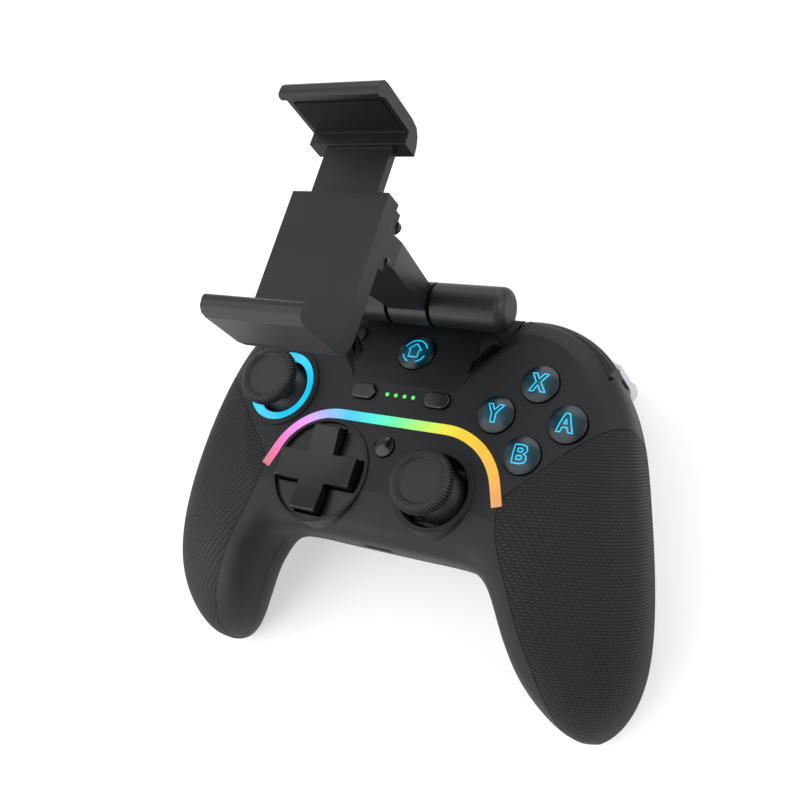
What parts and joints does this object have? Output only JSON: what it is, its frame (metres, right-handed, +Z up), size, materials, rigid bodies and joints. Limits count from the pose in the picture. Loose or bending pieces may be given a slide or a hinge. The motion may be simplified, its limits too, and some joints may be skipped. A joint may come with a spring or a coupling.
{
  "type": "gamepad with device clip",
  "caption": "Wireless two-stick gamepad with lit trim, dimpled grips, shoulder controls and a tilting spring-free clip that holds a handheld device above the face.",
  "frame": {"origin": "centre of the bounding box in plan, on the surface that the gamepad stands on", "axes": "+X to the player's right, +Y away from the player towards the shoulder controls, +Z up out of the face"},
  "size_m": [0.1556, 0.1318, 0.1272],
  "materials": {
    "shell": "soft-touch charcoal",
    "grip": "dimpled soft rubber",
    "gloss": "polished black",
    "light": "frosted diffuser",
    "ring": "frosted diffuser",
    "led": "clear",
    "stick": "matte knurled",
    "trigger": "satin grey",
    "inner_plastic": "moulded",
    "board": "solder mask",
    "battery": "foil pouch",
    "membrane": "silicone",
    "motor": "drawn can",
    "weight": "turned",
    "steel": "machined",
    "clip": "satin dark grey",
    "pad": "soft rubber"
  },
  "bodies": {
    "housing": {"front_shell": "shell", "rear_shell": "shell", "left_grip_panel": "grip", "right_grip_panel": "grip", "light_strip": "light", "stick_light_ring": "ring", "indicator_leds": "led", "recess_inserts": "gloss", "dpad_dish": "gloss", "dpad_post": "inner_plastic", "left_stick_module": "steel", "right_stick_module": "steel", "main_board": "board", "board_screws": "steel", "battery": "battery", "button_membrane": "membrane", "usb_port": "steel", "left_rumble_motor": "motor", "right_rumble_motor": "motor", "left_shoulder_frame": "inner_plastic", "right_shoulder_frame": "inner_plastic", "shoulder_pins": "steel", "shoulder_switches": "inner_plastic", "trigger_springs": "steel", "shell_screws": "steel", "clip_saddle": "clip", "saddle_screws": "steel", "clip_hinge_pin": "steel", "hinge_caps": "clip", "friction_washers": "pad"},
    "home_button": {"home_button": "gloss"},
    "select_button": {"select_button": "gloss"},
    "start_button": {"start_button": "gloss"},
    "capture_button": {"capture_button": "gloss"},
    "button_a": {"button_a": "gloss"},
    "button_b": {"button_b": "gloss"},
    "button_x": {"button_x": "gloss"},
    "button_y": {"button_y": "gloss"},
    "dpad_rocker": {"dpad_rocker": "inner_plastic"},
    "dpad": {"dpad": "gloss"},
    "left_frame": {"left_stick_frame": "inner_plastic"},
    "left_gimbal": {"left_stick_gimbal": "inner_plastic"},
    "left_stick": {"left_stick_cap": "stick"},
    "right_frame": {"right_stick_frame": "inner_plastic"},
    "right_gimbal": {"right_stick_gimbal": "inner_plastic"},
    "right_stick": {"right_stick_cap": "stick"},
    "left_bumper": {"left_bumper": "gloss"},
    "right_bumper": {"right_bumper": "gloss"},
    "left_trigger": {"left_trigger": "trigger"},
    "right_trigger": {"right_trigger": "trigger"},
    "left_weight": {"left_rumble_weight": "weight"},
    "right_weight": {"right_rumble_weight": "weight"},
    "clip": {"clip_arm": "clip", "clip_screws": "steel", "lower_jaw": "clip", "lower_jaw_pad": "pad"},
    "upper_jaw": {"upper_jaw": "clip", "upper_jaw_pad": "pad"}
  },
  "joints": [
    {"name": "button_a_press", "type": "slide", "parent": "housing", "child": "button_a", "axis": [0, 0, -1], "range_m": [0, 0.0012], "stiffness_N_per_m": 1200},
    {"name": "button_b_press", "type": "slide", "parent": "housing", "child": "button_b", "axis": [0, 0, -1], "range_m": [0, 0.0012], "stiffness_N_per_m": 1200},
    {"name": "button_x_press", "type": "slide", "parent": "housing", "child": "button_x", "axis": [0, 0, -1], "range_m": [0, 0.0012], "stiffness_N_per_m": 1200},
    {"name": "button_y_press", "type": "slide", "parent": "housing", "child": "button_y", "axis": [0, 0, -1], "range_m": [0, 0.0012], "stiffness_N_per_m": 1200},
    {"name": "home_press", "type": "slide", "parent": "housing", "child": "home_button", "axis": [0, -0.19, -0.9818], "range_m": [0, 0.0008], "stiffness_N_per_m": 1500},
    {"name": "select_press", "type": "slide", "parent": "housing", "child": "select_button", "axis": [0, 0, -1], "range_m": [0, 0.0008], "stiffness_N_per_m": 1500},
    {"name": "start_press", "type": "slide", "parent": "housing", "child": "start_button", "axis": [0, 0, -1], "range_m": [0, 0.0008], "stiffness_N_per_m": 1500},
    {"name": "capture_press", "type": "slide", "parent": "housing", "child": "capture_button", "axis": [0, 0, -1], "range_m": [0, 0.0008], "stiffness_N_per_m": 1500},
    {"name": "dpad_rock_updown", "type": "hinge", "parent": "housing", "child": "dpad_rocker", "pos_m": [-0.0189, -0.0135, 0.047], "axis": [1, 0, 0], "range_deg": [-4, 4], "stiffness_Nm_per_rad": 0.14},
    {"name": "dpad_rock_leftright", "type": "hinge", "parent": "dpad_rocker", "child": "dpad", "pos_m": [-0.0189, -0.0135, 0.047], "axis": [0, 1, 0], "range_deg": [-4, 4], "stiffness_Nm_per_rad": 0.14},
    {"name": "left_stick_click", "type": "slide", "parent": "housing", "child": "left_frame", "axis": [0, 0, -1], "range_m": [0, 0.0006], "stiffness_N_per_m": 4000},
    {"name": "left_stick_tilt_x", "type": "hinge", "parent": "left_frame", "child": "left_gimbal", "pos_m": [-0.0417, 0.0105, 0.042], "axis": [1, 0, 0], "range_deg": [-15, 15], "stiffness_Nm_per_rad": 0.05},
    {"name": "left_stick_tilt_y", "type": "hinge", "parent": "left_gimbal", "child": "left_stick", "pos_m": [-0.0417, 0.0105, 0.042], "axis": [0, 1, 0], "range_deg": [-15, 15], "stiffness_Nm_per_rad": 0.05},
    {"name": "right_stick_click", "type": "slide", "parent": "housing", "child": "right_frame", "axis": [0, 0, -1], "range_m": [0, 0.0006], "stiffness_N_per_m": 4000},
    {"name": "right_stick_tilt_x", "type": "hinge", "parent": "right_frame", "child": "right_gimbal", "pos_m": [0.0189, -0.0135, 0.042], "axis": [1, 0, 0], "range_deg": [-15, 15], "stiffness_Nm_per_rad": 0.05},
    {"name": "right_stick_tilt_y", "type": "hinge", "parent": "right_gimbal", "child": "right_stick", "pos_m": [0.0189, -0.0135, 0.042], "axis": [0, 1, 0], "range_deg": [-15, 15], "stiffness_Nm_per_rad": 0.05},
    {"name": "right_bumper_press", "type": "hinge", "parent": "housing", "child": "right_bumper", "pos_m": [0.03073, 0.03597, 0.044], "axis": [0, 0, -1], "range_deg": [0, 2.2], "stiffness_Nm_per_rad": 0.65},
    {"name": "left_bumper_press", "type": "hinge", "parent": "housing", "child": "left_bumper", "pos_m": [-0.03073, 0.03597, 0.044], "axis": [0, 0, 1], "range_deg": [0, 2.2], "stiffness_Nm_per_rad": 0.65},
    {"name": "right_trigger_pull", "type": "hinge", "parent": "housing", "child": "right_trigger", "pos_m": [0.04357, 0.03147, 0.034], "axis": [-0.9336, 0.3584, 0], "range_deg": [0, 14], "stiffness_Nm_per_rad": 0.08, "springref_deg": -8.59},
    {"name": "left_trigger_pull", "type": "hinge", "parent": "housing", "child": "left_trigger", "pos_m": [-0.04357, 0.03147, 0.034], "axis": [-0.9336, -0.3584, 0], "range_deg": [0, 14], "stiffness_Nm_per_rad": 0.08, "springref_deg": -8.59},
    {"name": "left_rumble_spin", "type": "hinge", "parent": "housing", "child": "left_weight", "pos_m": [-0.0585, -0.0413, 0.0235], "axis": [0, 1, 0], "continuous": true},
    {"name": "right_rumble_spin", "type": "hinge", "parent": "housing", "child": "right_weight", "pos_m": [0.0585, -0.0413, 0.0235], "axis": [0, 1, 0], "continuous": true},
    {"name": "clip_tilt", "type": "hinge", "parent": "housing", "child": "clip", "pos_m": [0, 0.0393, 0.0584], "axis": [1, 0, 0], "range_deg": [-75, 20]},
    {"name": "jaw_slide", "type": "slide", "parent": "clip", "child": "upper_jaw", "axis": [0, 1, 0], "range_m": [-0.008, 0.022]}
  ]
}
